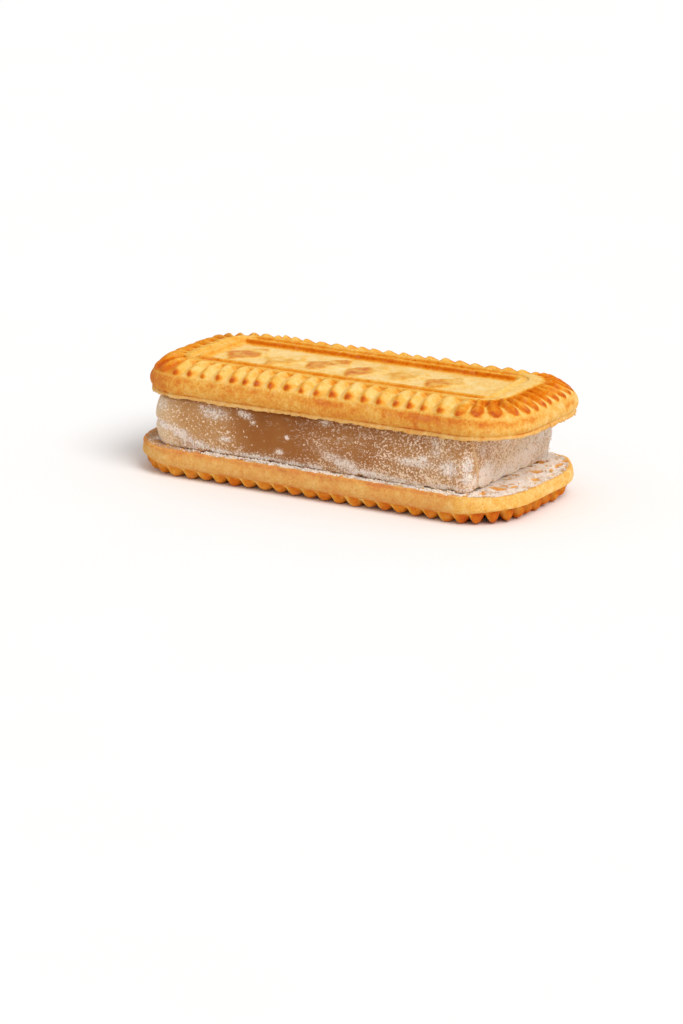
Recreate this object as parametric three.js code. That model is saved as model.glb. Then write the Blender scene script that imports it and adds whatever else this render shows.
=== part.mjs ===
// Turkish delight sandwich: two oblong pressed biscuits with a slab of sugar-dusted
// Turkish delight between them. The lower biscuit lies pattern down, the upper one
// pattern up, as a sandwich biscuit is put together.
//
// Units are millimetres, +Z is up. The origin is the middle of the footprint, on the
// plane that the rib crests of the lower biscuit rest on. +X runs along the length.

import * as THREE from 'three';

// ---- biscuit ------------------------------------------------------------------
const BOTTOM_LENGTH = 79.6;         // over the bulge of the side wall
const TOP_LENGTH = 79.0;
const BISCUIT_WIDTH = 33.4;
const CORNER_RADIUS = 10.6;
const BOTTOM_THICKNESS = 5.25;      // from the flat base to the rib crests; the upper one measures 6.4
const LIP_INSET = 0.42;             // the base edge stands inside the bulge
const LIP_HEIGHT = 0.55;
const BULGE_HEIGHT = 2.0;
const WALL_WOBBLE = 0.10;           // unevenness of the baked outline

// ribs: a row of rounded ridges all round, from the frame out over the shoulder. Each
// biscuit has its own shape there: the upper one is domed, the lower one has blunt knobs
const TOP_RIBS = 66;
const BOTTOM_RIBS = 64;
const RIB_TIP_INSET = 1.15;
const TOP_SHOULDER = { inset: 0.78, z: 4.12 };
const BOTTOM_SHOULDER = { inset: 0.85, z: 3.38 };
const TOP_RIB_LINE = [
  { inset: 1.2, crest: 4.92, valley: 4.40 },
  { inset: 3.0, crest: 5.90, valley: 5.00 },
  { inset: 5.1, crest: 6.40, valley: 4.80 },     // deepest where the ribs meet the frame
];
const BOTTOM_RIB_LINE = [
  { inset: 1.0, crest: 4.40, valley: 3.50 },
  { inset: 1.9, crest: 5.25, valley: 3.76 },
  { inset: 5.1, crest: 5.22, valley: 3.62 },
];

// double frame line round the panel, both lines at the same height
const PATTERN_SHIFT_X = -0.4;       // the stamp sits off centre
const RIB_STOP_INSET = 6.0;         // a flat band runs from here to the outer line at the ends
const FRAME_OUTER = { length: 64.4, width: 20.0, radius: 1.2 };
const FRAME_GROOVE = { length: 61.6, width: 17.4, radius: 0.9 };
const FRAME_INNER = { length: 60.0, width: 14.7, radius: 0.7 };
const PANEL_EDGE = { length: 58.0, width: 13.4, radius: 0.5 };
const TOP_LINE_Z = 6.18;
const BOTTOM_LINE_Z = 4.96;
const GROOVE_DEPTH = 0.43;
const PANEL_EDGE_DEPTH = 0.80;
const PANEL_DEPTH = 0.74;

const RIB_SECTION = [0.97, 0.97, 0];   // height over one rib: a broad crest and a narrow valley

// ---- filling ------------------------------------------------------------------
const SLAB_LENGTH = 67.2;
const SLAB_WIDTH = 29.4;
const SLAB_THICKNESS = 9.3;
const SLAB_SHIFT_X = -1.4;
const SLAB_RADIUS_LEFT = 4.6;       // the left end is rounder than the right
const SLAB_RADIUS_RIGHT = 2.6;
const SLAB_BULGE = 0.45;            // the walls swell at mid height
const SLAB_EDGE_ROUND = 0.8;
const SLAB_SAMPLES = 48;
const SLAB_LEVELS = [0, 0.05, 0.18, 0.42, 0.68, 0.9, 1];

// ---- how the three lie on each other --------------------------------------------
const GAP = 0.15;                   // hairline left between the touching faces
const TOP_OFFSET_X = 1.0;           // the upper biscuit is put on slightly askew
const TOP_OFFSET_Y = 0.7;
const TOP_TURN_DEG = 0.1;
const TOP_SLOPE_X = 0.012;          // and lies a little out of level
const TOP_SLOPE_Y = -0.010;

// A rounded rectangle is walked by a parameter t in 0..1 that starts at the middle of
// the near long side and goes round counter-clockwise. The share of each straight and
// each corner is the same for every ring, so that the ribs run straight across them.
const TIP = {
  length: BOTTOM_LENGTH - 2 * RIB_TIP_INSET,
  width: BISCUIT_WIDTH - 2 * RIB_TIP_INSET,
  radius: CORNER_RADIUS - RIB_TIP_INSET,
};
const HALF_LONG = TIP.length / 2 - TIP.radius;
const HALF_SHORT = TIP.width / 2 - TIP.radius;
const ARC = (Math.PI / 2) * TIP.radius;
const SEGMENTS = [HALF_LONG, ARC, 2 * HALF_SHORT, ARC, 2 * HALF_LONG, ARC, 2 * HALF_SHORT, ARC, HALF_LONG];
const PERIMETER = SEGMENTS.reduce((a, b) => a + b, 0);

function ringPoint(t, length, width, radius, shiftX) {
  const ax = length / 2 - radius;
  const ay = width / 2 - radius;
  let s = (((t % 1) + 1) % 1) * PERIMETER;
  let k = 0;
  while (k < SEGMENTS.length - 1 && s > SEGMENTS[k]) { s -= SEGMENTS[k]; k += 1; }
  const f = s / SEGMENTS[k];
  const arc = (cx, cy, a0) => {
    const a = a0 + f * Math.PI / 2;
    return [cx + radius * Math.cos(a), cy + radius * Math.sin(a)];
  };
  let p;
  if (k === 0) p = [f * ax, -width / 2];
  else if (k === 1) p = arc(ax, -ay, -Math.PI / 2);
  else if (k === 2) p = [length / 2, -ay + f * 2 * ay];
  else if (k === 3) p = arc(ax, ay, 0);
  else if (k === 4) p = [ax - f * 2 * ax, width / 2];
  else if (k === 5) p = arc(-ax, ay, Math.PI / 2);
  else if (k === 6) p = [-length / 2, ay - f * 2 * ay];
  else if (k === 7) p = arc(-ax, -ay, Math.PI);
  else p = [-ax + f * ax, -width / 2];
  // the shift fades out towards the middle of the long sides, so the ribs don't lean there
  const u = Math.min(1, Math.max(0, (Math.abs(p[0]) / ax - 0.45) / 0.55));
  return [p[0] + shiftX * u * u * (3 - 2 * u), p[1]];
}

function insetRing(length, inset) {
  return {
    length: length - 2 * inset,
    width: BISCUIT_WIDTH - 2 * inset,
    radius: Math.max(CORNER_RADIUS - inset, 0.4),
  };
}

// slow unevenness of the baked edge, a different one for each biscuit
function wobble(t, seed) {
  const a = 2 * Math.PI * t;
  return WALL_WOBBLE * (0.5 * Math.sin(3 * a + seed) + 0.3 * Math.sin(7 * a + 2.1 * seed)
    + 0.2 * Math.sin(13 * a + 3.7 * seed));
}

// closed body from rings of points, capped at both ends by a middle point
function bodyFromRings(rings, startCentre, endCentre) {
  const n = rings[0].length;
  const positions = [];
  const index = [];
  for (const ring of rings) for (const p of ring) positions.push(p[0], p[1], p[2]);
  const first = positions.length / 3;
  positions.push(...startCentre, ...endCentre);
  for (let r = 0; r + 1 < rings.length; r += 1) {
    for (let i = 0; i < n; i += 1) {
      const j = (i + 1) % n;
      const a = r * n + i, b = r * n + j, c = (r + 1) * n + j, d = (r + 1) * n + i;
      index.push(a, b, c, a, c, d);
    }
  }
  const last = (rings.length - 1) * n;
  for (let i = 0; i < n; i += 1) {
    const j = (i + 1) % n;
    index.push(first, j, i);
    index.push(first + 1, last + i, last + j);
  }
  const geometry = new THREE.BufferGeometry();
  geometry.setAttribute('position', new THREE.BufferAttribute(new Float32Array(positions), 3));
  geometry.setIndex(index);
  geometry.computeVertexNormals();
  return geometry;
}

// Biscuit with its flat base on z = 0 and its pattern facing +Z.
function biscuitGeometry({ length, ribs, shoulder, ribLine, lineZ, seed }) {
  const samples = ribs * RIB_SECTION.length;
  const levels = [
    { ring: insetRing(length, LIP_INSET), z: 0, shift: 0, wob: 1 },
    { ring: insetRing(length, LIP_INSET - 0.12), z: LIP_HEIGHT, shift: 0, wob: 1 },
    { ring: insetRing(length, 0), z: BULGE_HEIGHT, shift: 0, wob: 1 },
    { ring: insetRing(length, shoulder.inset), z: shoulder.z, shift: 0, wob: 0.8 },
    ...ribLine.map((rib, k) => (
      { ring: insetRing(length, rib.inset), crest: rib.crest, depth: rib.crest - rib.valley, shift: 0, wob: k === 0 ? 0.5 : 0 })),
    { ring: insetRing(length, RIB_STOP_INSET), z: lineZ, shift: 0 },
    { ring: FRAME_OUTER, z: lineZ, shift: PATTERN_SHIFT_X },
    { ring: FRAME_GROOVE, z: lineZ - GROOVE_DEPTH, shift: PATTERN_SHIFT_X },
    { ring: FRAME_INNER, z: lineZ, shift: PATTERN_SHIFT_X },
    { ring: PANEL_EDGE, z: lineZ - PANEL_EDGE_DEPTH, shift: PATTERN_SHIFT_X },
  ];
  const rings = levels.map((level) => {
    const ring = [];
    for (let i = 0; i < samples; i += 1) {
      const t = i / samples;
      const w = (level.wob || 0) * wobble(t, seed);
      const g = level.ring;
      const p = ringPoint(t, g.length + 2 * w, g.width + 2 * w, g.radius, level.shift);
      const share = RIB_SECTION[i % RIB_SECTION.length];
      const z = level.crest === undefined ? level.z : level.crest - level.depth * (1 - share);
      ring.push([p[0], p[1], z]);
    }
    return ring;
  });
  return bodyFromRings(rings, [0, 0, 0], [PATTERN_SHIFT_X, 0, lineZ - PANEL_DEPTH]);
}

// height of the tilted upper biscuit above its middle
function slopeAt(x, y) {
  return TOP_SLOPE_X * (x - TOP_OFFSET_X) + TOP_SLOPE_Y * (y - TOP_OFFSET_Y);
}

// Slab of Turkish delight with its underside on z = 0.
function slabGeometry() {
  const rings = [];
  for (const level of SLAB_LEVELS) {
    const flat = level * SLAB_THICKNESS;
    const fromEdge = Math.min(flat, SLAB_THICKNESS - flat);
    const round = fromEdge < SLAB_EDGE_ROUND
      ? SLAB_EDGE_ROUND - Math.sqrt(SLAB_EDGE_ROUND ** 2 - (SLAB_EDGE_ROUND - fromEdge) ** 2) : 0;
    const swell = SLAB_BULGE * Math.sin(Math.PI * level) - round;
    const ring = [];
    for (let i = 0; i < SLAB_SAMPLES; i += 1) {
      const t = i / SLAB_SAMPLES;
      const left = t > 0.5;
      const radius = left ? SLAB_RADIUS_LEFT : SLAB_RADIUS_RIGHT;
      const p = ringPoint(t, SLAB_LENGTH - 2 * SLAB_BULGE + 2 * swell, SLAB_WIDTH - 2 * SLAB_BULGE + 2 * swell, radius, 0);
      const uneven = 0.12 * Math.sin(2 * Math.PI * 5 * t + 1.3) * Math.sin(Math.PI * level);
      // the upper face follows the slope of the biscuit that lies on it
      const x = p[0] * (1 + uneven / 34);
      const y = p[1] * (1 + uneven / 15);
      ring.push([x, y, level * (SLAB_THICKNESS + slopeAt(x + SLAB_SHIFT_X, y))]);
    }
    rings.push(ring);
  }
  return bodyFromRings(rings, [0, 0, 0], [0, 0, SLAB_THICKNESS + slopeAt(SLAB_SHIFT_X, 0)]);
}

// a geometry turned over about its length, so that its pattern faces down
function turnedOver(geometry) {
  return geometry.rotateX(Math.PI);
}

const biscuitTopMaterial = new THREE.MeshStandardMaterial({ name: 'biscuit_crust', color: 0xe9b066, roughness: 0.72, metalness: 0 });
const biscuitBottomMaterial = new THREE.MeshStandardMaterial({ name: 'biscuit_crust_lower', color: 0xe3a75e, roughness: 0.76, metalness: 0 });
const slabMaterial = new THREE.MeshStandardMaterial({ name: 'dusted_jelly', color: 0xb48a62, roughness: 0.5, metalness: 0 });

const group = new THREE.Group();

const bottom = new THREE.Mesh(turnedOver(biscuitGeometry({
  length: BOTTOM_LENGTH, ribs: BOTTOM_RIBS, shoulder: BOTTOM_SHOULDER, ribLine: BOTTOM_RIB_LINE, lineZ: BOTTOM_LINE_Z, seed: 1.7,
})), biscuitBottomMaterial);
bottom.name = 'biscuit_bottom';
bottom.position.set(0, 0, BOTTOM_THICKNESS);
group.add(bottom);

const filling = new THREE.Mesh(slabGeometry(), slabMaterial);
filling.name = 'filling';
filling.position.set(SLAB_SHIFT_X, 0, BOTTOM_THICKNESS + GAP);
group.add(filling);

const top = new THREE.Mesh(biscuitGeometry({
  length: TOP_LENGTH, ribs: TOP_RIBS, shoulder: TOP_SHOULDER, ribLine: TOP_RIB_LINE, lineZ: TOP_LINE_Z, seed: 4.2,
}), biscuitTopMaterial);
top.name = 'biscuit_top';
top.position.set(TOP_OFFSET_X, TOP_OFFSET_Y, BOTTOM_THICKNESS + GAP + SLAB_THICKNESS + GAP);
top.rotation.set(Math.atan(TOP_SLOPE_Y), -Math.atan(TOP_SLOPE_X), TOP_TURN_DEG * Math.PI / 180);
group.add(top);

// the origin is moved to the middle of the footprint of the whole
const box = new THREE.Box3().setFromObject(group, true);
for (const mesh of [bottom, filling, top]) {
  mesh.position.x -= (box.min.x + box.max.x) / 2;
  mesh.position.y -= (box.min.y + box.max.y) / 2;
  mesh.position.z -= box.min.z;
}
group.updateMatrixWorld(true);

export default group;
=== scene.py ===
import math

import bpy
import numpy as np
from mathutils import Matrix, Vector


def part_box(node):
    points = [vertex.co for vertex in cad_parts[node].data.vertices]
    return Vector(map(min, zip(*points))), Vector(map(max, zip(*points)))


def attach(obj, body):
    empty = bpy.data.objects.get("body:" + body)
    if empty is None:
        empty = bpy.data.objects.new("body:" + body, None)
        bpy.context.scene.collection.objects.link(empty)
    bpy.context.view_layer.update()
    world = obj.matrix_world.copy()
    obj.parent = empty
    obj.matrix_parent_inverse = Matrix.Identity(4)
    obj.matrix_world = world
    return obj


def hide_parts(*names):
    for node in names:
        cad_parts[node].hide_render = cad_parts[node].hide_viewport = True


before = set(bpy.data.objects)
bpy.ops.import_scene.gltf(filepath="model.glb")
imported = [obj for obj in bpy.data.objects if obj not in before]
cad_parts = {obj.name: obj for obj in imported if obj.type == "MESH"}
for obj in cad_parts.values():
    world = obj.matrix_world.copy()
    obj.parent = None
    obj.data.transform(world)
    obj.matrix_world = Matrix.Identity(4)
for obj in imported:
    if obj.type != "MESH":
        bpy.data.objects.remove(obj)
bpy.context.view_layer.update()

MM = 0.001

# ------------------------------------------------------------------ named sizes (mm)
LENGTH = 79.6
LENGTH_TOP = 79.0
LENGTH_BOTTOM = 79.6
WIDTH = 33.4
RADIUS = 10.6
RIBS = 64
PER_RIB = 14
N = RIBS * PER_RIB
TOP_T = 6.4
BOTTOM_T = 5.25
SLOPE_X = 0.012
SLOPE_Y = -0.010
TIP_INSET = 1.15

SLAB_L = 67.2
SLAB_W = 29.4
SLAB_T = 9.3


# ------------------------------------------------------------------ small helpers
def lin(c):
    """sRGB 0..255 to linear RGBA"""
    out = []
    for v in c:
        v = v / 255.0
        out.append(v / 12.92 if v <= 0.04045 else ((v + 0.055) / 1.055) ** 2.4)
    return (*out, 1.0)


def smooth(a, b, x):
    t = np.clip((x - a) / (b - a), 0.0, 1.0)
    return t * t * (3 - 2 * t)


def lattice(ix, iy, iz, seed):
    h = (ix.astype(np.int64) * 374761393 + iy.astype(np.int64) * 668265263 + iz.astype(np.int64) * 2147483647 + seed * 1274126177) & 0xFFFFFFFF
    h = ((h ^ (h >> 13)) * 1103515245) & 0xFFFFFFFF
    h = ((h ^ (h >> 16)) * 2246822519) & 0xFFFFFFFF
    h = h ^ (h >> 15)
    return (h & 0xFFFFFF) / float(0xFFFFFF) * 2.0 - 1.0


def noise(p, scale, seed):
    """smooth value noise in -1..1 of points p (n, 3), with scale in lumps per mm"""
    q = np.asarray(p, dtype=np.float64) * scale + 37.3 + 11.7 * (seed % 17)
    i = np.floor(q).astype(np.int64)
    f = q - i
    u = f * f * f * (f * (f * 6 - 15) + 10)
    out = 0.0
    for dx in (0, 1):
        wx = u[:, 0] if dx else 1 - u[:, 0]
        for dy in (0, 1):
            wy = u[:, 1] if dy else 1 - u[:, 1]
            for dz in (0, 1):
                wz = u[:, 2] if dz else 1 - u[:, 2]
                out = out + wx * wy * wz * lattice(i[:, 0] + dx, i[:, 1] + dy, i[:, 2] + dz, seed)
    return out


def fbm(p, scale, octaves, seed):
    total, amp, norm = 0.0, 1.0, 0.0
    for k in range(octaves):
        total = total + amp * noise(p, scale * 2 ** k, seed + 31 * k)
        norm += amp
        amp *= 0.5
    return total / norm


def loop_noise(t, cycles, seed):
    """noise in -1..1 that closes on itself as t goes 0..1"""
    a = 2 * math.pi * np.asarray(t)
    r = cycles / (2 * math.pi)
    p = np.stack([np.cos(a) * r, np.sin(a) * r, np.zeros_like(a)], -1)
    return noise(p, 1.0, seed)


def new_mesh(name, verts_mm, faces, attrs=None, material=None):
    me = bpy.data.meshes.new(name)
    v = np.asarray(verts_mm, dtype=np.float64) * MM
    faces = [f for f in faces if len(f)]
    counts = [np.full(len(f), f.shape[1], dtype=np.int32) for f in faces]
    corners = np.concatenate([f.reshape(-1) for f in faces]).astype(np.int32)
    totals = np.concatenate(counts)
    starts = np.concatenate([[0], np.cumsum(totals)[:-1]]).astype(np.int32)
    me.vertices.add(len(v))
    me.vertices.foreach_set("co", v.reshape(-1))
    me.loops.add(len(corners))
    me.loops.foreach_set("vertex_index", corners)
    me.polygons.add(len(totals))
    me.polygons.foreach_set("loop_start", starts)
    me.polygons.foreach_set("loop_total", totals)
    me.polygons.foreach_set("use_smooth", np.ones(len(totals), dtype=bool))
    me.update(calc_edges=True)
    me.validate()
    for key, values in (attrs or {}).items():
        a = me.attributes.new(key, "FLOAT", "POINT")
        a.data.foreach_set("value", np.asarray(values, dtype=np.float32))
    ob = bpy.data.objects.new(name, me)
    bpy.context.scene.collection.objects.link(ob)
    if material:
        me.materials.append(material)
    return ob


# ------------------------------------------------------------------ the rings of a biscuit
TIP_L, TIP_W, TIP_R = LENGTH_BOTTOM - 2 * TIP_INSET, WIDTH - 2 * TIP_INSET, RADIUS - TIP_INSET
HALF_LONG = TIP_L / 2 - TIP_R
HALF_SHORT = TIP_W / 2 - TIP_R
ARC = math.pi / 2 * TIP_R
SEGS = np.array([HALF_LONG, ARC, 2 * HALF_SHORT, ARC, 2 * HALF_LONG, ARC, 2 * HALF_SHORT, ARC, HALF_LONG])
ENDS = np.cumsum(SEGS)
TOTAL = ENDS[-1]


def ring(t, half_w, x_right, x_left, radius):
    """points (n, 2) of a rounded rectangle from -x_left to x_right, walked counter-clockwise from the middle of the near side"""
    s = (np.asarray(t) % 1.0) * TOTAL
    k = np.minimum(np.searchsorted(ENDS, s, side="left"), 8)
    f = (s - np.concatenate([[0], ENDS[:-1]])[k]) / SEGS[k]
    base = LENGTH / 2 - RADIUS
    ay = half_w - radius
    x = np.zeros_like(s)
    y = np.zeros_like(s)

    def along(frac):
        """x on a long side: frac -1..1"""
        a_end = np.where(frac > 0, x_right - radius, x_left - radius)
        u = np.clip((np.abs(frac) - 0.45) / 0.55, 0, 1)
        u = u * u * (3 - 2 * u)
        return frac * (base + (a_end - base) * u)

    m = k == 0; x[m] = along(f[m]); y[m] = -half_w
    m = k == 8; x[m] = along(f[m] - 1); y[m] = -half_w
    m = k == 4; x[m] = along(1 - 2 * f[m]); y[m] = half_w
    for kk, cx, cy, a0 in ((1, x_right - radius, -ay, -90), (3, x_right - radius, ay, 0), (5, -(x_left - radius), ay, 90), (7, -(x_left - radius), -ay, 180)):
        m = k == kk
        a = math.radians(a0) + f[m] * math.pi / 2
        x[m] = cx + radius * np.cos(a); y[m] = cy + radius * np.sin(a)
    m = k == 2; x[m] = x_right; y[m] = -ay + 2 * ay * f[m]
    m = k == 6; x[m] = -x_left; y[m] = ay - 2 * ay * f[m]
    return np.stack([x, y], -1)


def side_weights(t):
    """how much a sample belongs to the right end and to the left end, 0..1"""
    p = ring(t, TIP_W / 2, TIP_L / 2, TIP_L / 2, TIP_R)
    right = smooth(HALF_LONG - 1, TIP_L / 2, p[:, 0])
    left = smooth(HALF_LONG - 1, TIP_L / 2, -p[:, 0])
    return right, left


# inset from the bulge at the long side: the same at the right end and at the left end
INSET = np.array([-1.0, 0.0, 1.2, 5.4, 6.1, 6.7, 7.2, 8.4, 9.1, 9.85, 16.7])
AT_RIGHT = np.array([-1.0, 0.0, 1.2, 4.9, 5.6, 9.0, 9.5, 10.4, 11.0, 11.9, 18.75])
AT_LEFT = np.array([-1.0, 0.0, 1.1, 5.3, 6.1, 7.3, 7.8, 8.9, 9.5, 10.1, 16.95])
CORNER = np.array([RADIUS + 1, RADIUS, RADIUS - 1.2, 5.8, 5.3, 4.5, 3.7, 1.6, 1.0, 0.7, 0.05])


def ring_at(t, inset):
    i = float(inset)
    return ring(
        t,
        max(WIDTH / 2 - i, 0.06),
        LENGTH / 2 - float(np.interp(i, INSET, AT_RIGHT)),
        LENGTH / 2 - float(np.interp(i, INSET, AT_LEFT)),
        float(np.interp(i, INSET, CORNER)),
    )


def resample(points, step, sigma):
    """a profile polyline, evenly resampled and rounded"""
    p = np.asarray(points, dtype=float)
    seg = np.linalg.norm(np.diff(p, axis=0), axis=1)
    s = np.concatenate([[0], np.cumsum(seg)])
    fine = np.arange(0, s[-1], 0.01)
    q = np.stack([np.interp(fine, s, p[:, 0]), np.interp(fine, s, p[:, 1])], -1)
    if sigma > 0:
        r = int(3 * sigma / 0.01)
        w = np.exp(-0.5 * (np.arange(-r, r + 1) * 0.01 / sigma) ** 2)
        w /= w.sum()
        pad = np.concatenate([np.repeat(q[:1], r, 0), q, np.repeat(q[-1:], r, 0)])
        q = np.stack([np.convolve(pad[:, 0], w, "valid"), np.convolve(pad[:, 1], w, "valid")], -1)
    n = max(2, int(round(s[-1] / step)) + 1)
    at = np.linspace(0, len(q) - 1, n).round().astype(int)
    return q[at]


def blend(points, n, power=1.0):
    """n points along a polyline, closer together at its start when power is above 1"""
    p = np.asarray(points, dtype=float)
    at = np.linspace(0, 1, n) ** power * (len(p) - 1)
    return np.stack([np.interp(at, np.arange(len(p)), p[:, j]) for j in (0, 1)], -1)


def biscuit_profile(upper_one):
    """rings from the middle of the base to the middle of the panel: crest (inset, z), valley (inset, z), kind, rho"""
    rows = []

    def add(crest, valley, kind, rho=None):
        n = len(crest)
        for k in range(n):
            r = {0: 0.0, 1: 0.0, 3: 1.0, 4: 1.0, 5: 1.0}[kind] if rho is None else rho[k]
            rows.append((crest[k][0], crest[k][1], valley[k][0], valley[k][1], kind, r))

    if upper_one:
        base = [(16.64, 0.0), (12.0, 0.0), (8.0, 0.0)] + [(x, 0.0) for x in np.linspace(5.0, 0.98, 11)]
    else:
        base = [(16.64, 0.0), (12.5, 0.0), (9.0, 0.0), (6.6, 0.0)] + [(x, 0.0) for x in np.linspace(5.4, 0.72, 29)]
    add(base, base, 0)
    if upper_one:
        lip = [(0.78, 0.0), (0.50, 0.01), (0.36, 0.12), (0.31, 0.36), (0.36, 0.58), (0.50, 0.76), (0.55, 0.86), (0.44, 1.0), (0.24, 1.24), (0.09, 1.55), (0.0, 2.0)]
        wall = lip + [(0.02, 2.45), (0.10, 2.85), (0.22, 3.2), (0.40, 3.6), (0.60, 3.92), (0.78, 4.12)]
        crest = [(0.80, 4.15), (0.86, 4.40), (0.98, 4.70), (1.25, 5.0), (1.7, 5.30), (2.3, 5.60), (3.0, 5.88), (3.8, 6.13), (4.5, 6.31), (5.0, 6.37), (5.45, 6.33), (5.8, 6.22), (6.05, 6.17)]
        valley = [(0.82, 4.15), (1.1, 4.35), (1.6, 4.56), (2.3, 4.80), (3.2, 5.08), (4.0, 5.30), (4.55, 5.38), (4.85, 5.20), (5.05, 4.85), (5.35, 4.62), (5.72, 4.66), (5.93, 5.0), (6.03, 5.4)]
        top, sunk, deep = 6.17, 5.74, 5.36
    else:
        wall = [(0.60, 0.0), (0.44, 0.02), (0.34, 0.12), (0.26, 0.34), (0.19, 0.62), (0.14, 0.9), (0.07, 1.3), (0.01, 1.75), (0.0, 2.1), (0.04, 2.4), (0.16, 2.75), (0.36, 3.05), (0.62, 3.26), (0.85, 3.36)]
        crest = [(0.87, 3.38), (0.87, 3.7), (0.90, 4.1), (1.0, 4.5), (1.2, 4.83), (1.55, 5.08), (2.0, 5.19), (2.8, 5.25), (3.8, 5.25), (4.8, 5.2), (5.4, 5.08), (5.8, 4.98), (6.05, 4.95)]
        valley = [(0.90, 3.38), (1.2, 3.46), (1.7, 3.56), (2.5, 3.7), (3.4, 3.8), (4.3, 3.85), (4.85, 3.7), (5.1, 3.5), (5.4, 3.4), (5.75, 3.5), (5.93, 3.85), (6.03, 4.25)]
        top, sunk, deep = 4.95, 4.58, 4.2
    wall = resample(wall, 0.20, 0.05)
    add(wall, wall, 1)
    crest, valley = resample(crest, 0.05, 0.06), resample(valley, 0.05, 0.06)
    n = 30 if upper_one else 24
    f = np.linspace(0, 1, n) ** 1.15
    take = lambda q: np.stack([np.interp(f * (len(q) - 1), np.arange(len(q)), q[:, j]) for j in (0, 1)], -1)
    add(take(crest), take(valley), 2, f)
    crest = [(6.10, top - 0.01), (6.30, top), (6.62, top)]
    valley = [(6.08, top - 0.45), (6.22, top - 0.04), (6.62, top)]
    add(crest, valley, 3)
    frame_line = resample(
        [(6.84, top - 0.01), (7.0, top - 0.1), (7.18, sunk + 0.07), (7.5, sunk), (8.35, sunk), (8.65, sunk + 0.1), (8.92, top - 0.06), (9.12, top + 0.02),
         (9.35, top), (9.50, top - 0.2), (9.64, deep + 0.22), (9.80, deep + 0.02), (10.1, deep)], 0.19 if upper_one else 0.32, 0.045)
    add(frame_line, frame_line, 4)
    panel = [(x, deep + 0.10 * smooth(10.0, 15.0, x)) for x in np.concatenate([np.linspace(10.35, 16.2, 22 if upper_one else 10), [16.55]])]
    add(panel, panel, 5)
    return rows


# where each rib of the upper biscuit lies: place along the edge (in 64ths of the way round) and its number
UPPER_RIBS = np.array([
    (-20.65, -20), (-19.6, -19), (-18.6, -18), (-17.6, -17), (-16.6, -16), (-15.5, -15), (-14.5, -14), (-13.5, -13), (-12.4, -12), (-11.0, -11),
    (-9.75, -10), (-8.75, -9), (-7.82, -8), (-6.81, -7), (-5.84, -6), (-4.94, -5), (-4.2, -4), (-3.22, -3), (-2.19, -2), (-1.13, -1), (-0.16, 0),
    (0.86, 1), (1.92, 2), (2.97, 3), (4.06, 4), (5.14, 5), (6.03, 6), (6.97, 7), (8.05, 8), (9.3, 9), (10.36, 10), (11.44, 11), (12.6, 12), (13.5, 13),
    (14.57, 14), (15.45, 15), (16.1, 16), (16.85, 17), (17.6, 18), (18.5, 19), (19.4, 20), (20.25, 21), (21.1, 22), (21.9, 23), (22.7, 24), (23.6, 25),
    (24.5, 26), (25.65, 27), (26.8, 28), (27.75, 29), (28.7, 30), (29.8, 31), (30.65, 32), (31.55, 33), (32.55, 34), (33.6, 35), (34.4, 36), (35.1, 37),
    (36.1, 38), (37.2, 39), (38.2, 40), (39.05, 41), (39.7, 42), (40.25, 43), (41.1, 44), (42.2, 45), (43.35, 46)], dtype=float)
# how far the rib tips hang lower than on the long sides, along the same way round
TIP_DROP = np.array([(-20.65, 0.5), (-18, 0.9), (-15, 0.9), (-13.2, 0.6), (-12.0, 0.3), (-10.5, 0.0), (-5, 0), (10.3, 0), (11.4, 0.08), (12.6, 0.18), (13.5, 0.34),
                     (14.6, 0.58), (15.5, 0.50), (16.8, 0.32), (17.6, 0.30), (18.8, 0.40), (20.2, 0.38), (21.4, 0.25), (23, 0.1), (25, 0.0), (41, 0.0), (43.35, 0.5)], dtype=float)


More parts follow.
